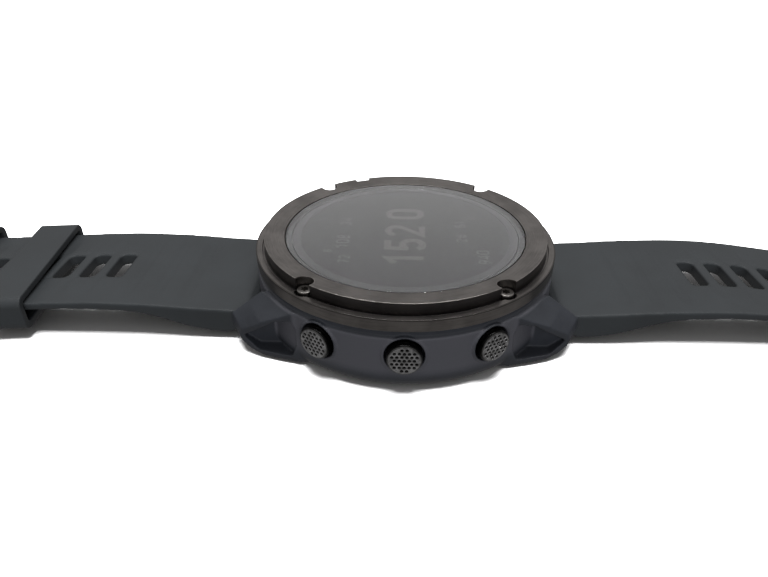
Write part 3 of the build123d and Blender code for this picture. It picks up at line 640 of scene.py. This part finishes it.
big = writing("display_time", [("1", 3.6, -11.5, 7.1, 1.25, 4.6), ("5", 3.6, -6.6, 7.1, 1.2, 4.6), ("2", 3.6, -1.5, 7.1, 1.2, 4.6), ("0", 3.6, 5.3, 7.1, 1.2, 4.6)], 13.055,
              mark_mat("display_digits", (0.060, 0.055, 0.052)))
small = writing("display_data", [("72", -8.8, -11.0, 2.0, 0.28, 1.5), ("108", -9.3, -6.0, 2.4, 0.32, 1.7), ("34", -9.3, 2.6, 2.3, 0.32, 1.7), ("8", -12.0, -7.4, 1.5, 0.22, 1.1),
                                 ("26", 10.6, -3.2, 2.0, 0.28, 1.5), ("51", 10.8, 2.2, 2.0, 0.28, 1.5), ("940", 13.9, -10.8, 2.3, 0.3, 1.6), ("7", 13.6, 5.2, 1.8, 0.24, 1.4), ("--", -12.2, 3.0, 1.6, 0.22, 1.4)], 13.055,
                mark_mat("display_small", (0.058, 0.056, 0.055)))
for o in (big, small):
    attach(o, "case")

# --------------------------------------------------------------- mid case
case = soften("mid_case_moulded", "mid_case", 0.15, smooth=6, ratio=0.42)
paint(case, case_mat)
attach(case, "case"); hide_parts("mid_case")

# ------------------------------------------------------------------ buttons
angles = {"light": -120.4, "up": -90.0, "down": -59.6, "start": 120.4, "back": 59.6}
FACE, BUTTON_Z = 26.6, 6.8
cap_prof = rounded([(0, 19.5), (0.9, 19.5), (0.9, 20.2), (0.62, 20.2), (0.62, 20.5), (0.9, 20.5), (0.9, 24.1), (2.65, 24.1), (2.65, FACE), (0, FACE)],
                   [0, 0.1, 0, 0, 0, 0, 0.0, 0.12, 0.45, 0], 7)
cap = lathe("cap", cap_prof, 128)
bm = bmesh.new()
pitch = 0.715
for row in range(-3, 4):
    y = row * pitch * 0.8660
    for col in range(-4, 5):
        x = (col + (0.5 if row % 2 else 0.0)) * pitch
        if math.hypot(x, y) < 2.0:
            bmesh.ops.create_icosphere(bm, subdivisions=2, radius=0.275, matrix=Matrix.Translation((x, y, FACE + 0.05)))
balls = to_object("balls", bm)
cut(cap, [balls])
cap_mesh = cap.data
bpy.data.objects.remove(cap)
for name, a in angles.items():
    me = cap_mesh.copy()
    me.transform(Matrix.Scale(1000, 4)); me.transform(radial_matrix(a, 0, BUTTON_Z)); me.transform(Matrix.Scale(MM, 4))
    ob = bpy.data.objects.new("cap_" + name, me)
    bpy.context.scene.collection.objects.link(ob)
    smooth_by_angle(ob, 28)
    paint(ob, button_mat)
    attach(ob, "press_" + name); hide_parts("button_" + name)

# ------------------------------------------------------------------- straps
def smoothstep(e0, e1, x):
    t = np.clip((x - e0) / (e1 - e0), 0, 1)
    return t * t * (3 - 2 * t)


top_line = [(26, 5.6), (30, 5.74), (35, 6.02), (39, 6.32), (43, 6.56), (47, 6.7), (52, 6.76), (56, 6.66)]
low_line = [(26, 1.9), (29, 1.42), (32, 1.6), (35, 2.1), (38, 2.78), (41, 3.45), (46, 4.16), (52, 4.4), (56, 4.34)]
fall_top = [(60, 6.36), (64, 5.92), (68, 5.38), (72, 4.82), (76, 4.15), (80, 3.42), (84, 2.8), (88, 2.42), (93, 2.3), (160, 2.3)]
fall_low = [(60, 4.05), (64, 3.62), (68, 3.08), (72, 2.52), (76, 1.85), (80, 1.12), (84, 0.5), (88, 0.12), (93, 0.0), (160, 0.0)]
hold_top = [(60, 6.48), (66, 6.12), (72, 5.75), (78, 5.45), (84, 5.18), (90, 4.92), (95, 4.72), (99.5, 4.6), (104, 4.0)]
hold_low = [(60, 4.18), (66, 3.84), (72, 3.45), (78, 3.15), (84, 2.88), (89, 2.64), (92.5, 2.42), (95.5, 1.2), (99.5, 0.0), (104, 0.5)]


def under_chamfer(side, lower):
    """The lower long edges are cut back at an angle, from the end of the latch outward."""
    lx = np.array([p[0] for p in lower]); lz = np.array([p[1] for p in lower])

    def f(co):
        x, ay = co[:, 0] * side, np.abs(co[:, 1])
        zb = np.interp(x, lx, lz)
        depth = 1.15 * smoothstep(33.0, 45.0, x)
        if side < 0:
            depth = depth * (1 - smoothstep(90, 95, x))
        width = 2.4
        lim = zb + depth * np.clip((ay - (12.85 - width)) / width, 0, 1)
        co[:, 2] = np.where(x > 33, np.maximum(co[:, 2], lim), co[:, 2])
        return co
    return f


def ribs(side, upper, last):
    """Shallow cross grooves in the upper face near the case, and beside every slot."""
    ux = np.array([p[0] for p in upper]); uz = np.array([p[1] for p in upper])

    def f(co):
        x, ay = co[:, 0] * side, np.abs(co[:, 1])
        zt = np.interp(x, ux, uz)
        on_top = smoothstep(-0.55, -0.15, co[:, 2] - zt)
        g = np.zeros(len(co))
        for c, half in ((36.9, 1.35), (41.8, 1.35), (46.6, 1.25)):
            g += np.clip(1 - ((x - c) / half) ** 2, 0, None) ** 2 * 0.17
        edge = 1 - smoothstep(8.0, 11.8, ay)
        g *= edge
        h = np.zeros(len(co))
        k = (x - 53.65) / 4.9
        c = (k - np.round(k)) * 4.9
        inside = (x > 50.5) & (x < last)
        h = np.where(inside, np.clip(1 - (c / 1.2) ** 2, 0, None) ** 2 * 0.10, 0) * (1 - smoothstep(7.0, 11.2, ay))
        k2 = (x - 51.2) / 4.9
        c2 = (k2 - np.round(k2)) * 4.9
        # the slots' rims are dished
        rim = np.where((x > 48.5) & (x < last), smoothstep(2.3, 1.4, np.abs(c2)) * smoothstep(4.9, 4.0, ay) * 0.16, 0)
        co[:, 2] -= on_top * (g + h + rim)
        return co
    return f


strap_long = soften("strap_long_silicone", "strap_long", 0.19, smooth=4, before=under_chamfer(1, low_line + fall_low), after=ribs(1, top_line + fall_top, 138), ratio=0.42, first=0.24)
strap_buckle = soften("strap_buckle_silicone", "strap_buckle", 0.19, smooth=4, before=under_chamfer(-1, low_line + hold_low), after=ribs(-1, top_line + hold_top, 88), ratio=0.5, first=0.24)
for ob, node, body in ((strap_long, "strap_long", "strap_long"), (strap_buckle, "strap_buckle", "strap_buckle")):
    paint(ob, silicone_mat)
    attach(ob, body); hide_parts(node)
for n in ("keeper_inner", "keeper_outer"):
    ob = soften(n + "_silicone", n, 0.13, smooth=6, ratio=0.6)
    paint(ob, silicone_mat)
    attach(ob, n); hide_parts(n)
ob = soften("buckle_frame_steel", "buckle_frame", 0.12, smooth=5, ratio=0.5)
paint(ob, buckle_mat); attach(ob, "buckle"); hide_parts("buckle_frame")
ob = soften("buckle_tongue_steel", "buckle_tongue", 0.10, smooth=5, ratio=0.6)
paint(ob, buckle_mat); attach(ob, "tongue"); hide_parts("buckle_tongue")

# ------------------------------------------------- springs, copied as they stand
def coil(node):
    """A spring with one end on each of two bodies, copied from its node in spring steel with its placement baked in;
    the node is hidden.
    """
    ob = bpy.data.objects.new(node + "_coil", nodes[node].data.copy())
    bpy.context.scene.collection.objects.link(ob)
    paint(ob, spring_mat)
    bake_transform(ob)
    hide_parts(node)


for n, a in angles.items():
    c, d = math.cos(D(a)), math.sin(D(a))
    coil("spring_" + n)
for n, sign in (("long", 1), ("buckle", -1)):
    coil("latch_springs_" + n)

# -------------------------------------------------------------------- stage
floor = bpy.data.objects.new("floor", bpy.data.meshes.new("floor"))
bm = bmesh.new()
bmesh.ops.create_grid(bm, x_segments=1, y_segments=1, size=3.0)
bm.to_mesh(floor.data); bm.free()
floor.location.z = -0.00002
bpy.context.scene.collection.objects.link(floor)
fm = bpy.data.materials.new("paper")
fm.use_nodes = True
fm.node_tree.nodes["Principled BSDF"].inputs["Base Color"].default_value = (0.50, 0.50, 0.503, 1)
fm.node_tree.nodes["Principled BSDF"].inputs["Roughness"].default_value = 0.9
fm.node_tree.nodes["Principled BSDF"].inputs["Specular IOR Level"].default_value = 0.1
floor.data.materials.append(fm)
floor.visible_glossy = False
floor.visible_diffuse = False

world = bpy.data.worlds.new("studio")
bpy.context.scene.world = world
world.use_nodes = True
wt = world.node_tree
bg = wt.nodes["Background"]
tc = wt.nodes.new("ShaderNodeTexCoord"); sp = wt.nodes.new("ShaderNodeSeparateXYZ"); cr = wt.nodes.new("ShaderNodeValToRGB")
wt.links.new(tc.outputs["Generated"], sp.inputs[0])
mr = wt.nodes.new("ShaderNodeMapRange")
mr.inputs["From Min"].default_value = -1.0; mr.inputs["From Max"].default_value = 1.0
wt.links.new(sp.outputs["Z"], mr.inputs["Value"]); wt.links.new(mr.outputs[0], cr.inputs[0])
el = cr.color_ramp.elements
cr.color_ramp.interpolation = "B_SPLINE"
el[0].position = 0.0; el[0].color = (0.30, 0.296, 0.292, 1)
el[1].position = 1.0; el[1].color = (0.64, 0.64, 0.65, 1)
for pos, v in ((0.41, 0.26), (0.50, 0.14), (0.58, 0.14), (0.65, 0.56), (0.70, 0.76), (0.76, 0.46), (0.86, 0.62)):
    e = el.new(pos); e.color = (v * 1.01, v, v * 0.99, 1)
wt.links.new(cr.outputs[0], bg.inputs[0])
bg.inputs[1].default_value = 1.0


def area(name, loc, target, size, power, color=(1, 1, 1)):
    l = bpy.data.lights.new(name, "AREA")
    l.shape = "RECTANGLE"; l.size, l.size_y = size
    l.energy = power; l.color = color
    o = bpy.data.objects.new(name, l)
    o.location = loc
    o.rotation_euler = (Vector(target) - Vector(loc)).to_track_quat("-Z", "Y").to_euler()
    bpy.context.scene.collection.objects.link(o)
    return o


top = area("overhead", (0.0, 0.05, 0.9), (0, 0, 0), (0.55, 0.42), 9.0)
top.visible_glossy = False
# a second overhead light burns the paper out to white, and reaches nothing else
paper_light = area("paper_light", (0.0, -0.12, 0.9), (0, 0, 0), (0.40, 0.30), 36.0)
paper_light.visible_glossy = False
paper_light.visible_transmission = False
only_floor = bpy.data.collections.new("lit_by_paper_light")
only_floor.objects.link(floor)
paper_light.light_linking.receiver_collection = only_floor
only_floor.collection_objects[0].light_linking.link_state = "INCLUDE"
front = area("front", (0.1, -0.9, 0.35), (0, 0, 0), (0.8, 0.4), 12.0)
front.visible_glossy = False
front.visible_transmission = False
# the front light fills the side walls only, and leaves the shadow on the table
spare = bpy.data.collections.new("unlit_by_front")
spare.objects.link(floor)
front.light_linking.receiver_collection = spare
spare.collection_objects[0].light_linking.link_state = "EXCLUDE"
area("strip_left", (-0.10, 0.02, 0.5), (0, 0, 0), (0.05, 0.14), 0.7)
area("strip_right", (0.12, -0.02, 0.5), (0, 0, 0), (0.05, 0.14), 0.7)

cam = bpy.data.objects.new("camera", bpy.data.cameras.new("camera"))
cam.data.sensor_width = 36.0
cam.data.lens = 28.404
cam.data.clip_start = 0.002
cam.data.clip_end = 20.0
cam.location = (-0.001105, -0.094448, 0.060953)
cam.rotation_euler = (D(90 - 31.77), D(-0.056), D(1.55))
bpy.context.scene.collection.objects.link(cam)
bpy.context.scene.camera = cam
bpy.context.scene.view_settings.view_transform = "Standard"
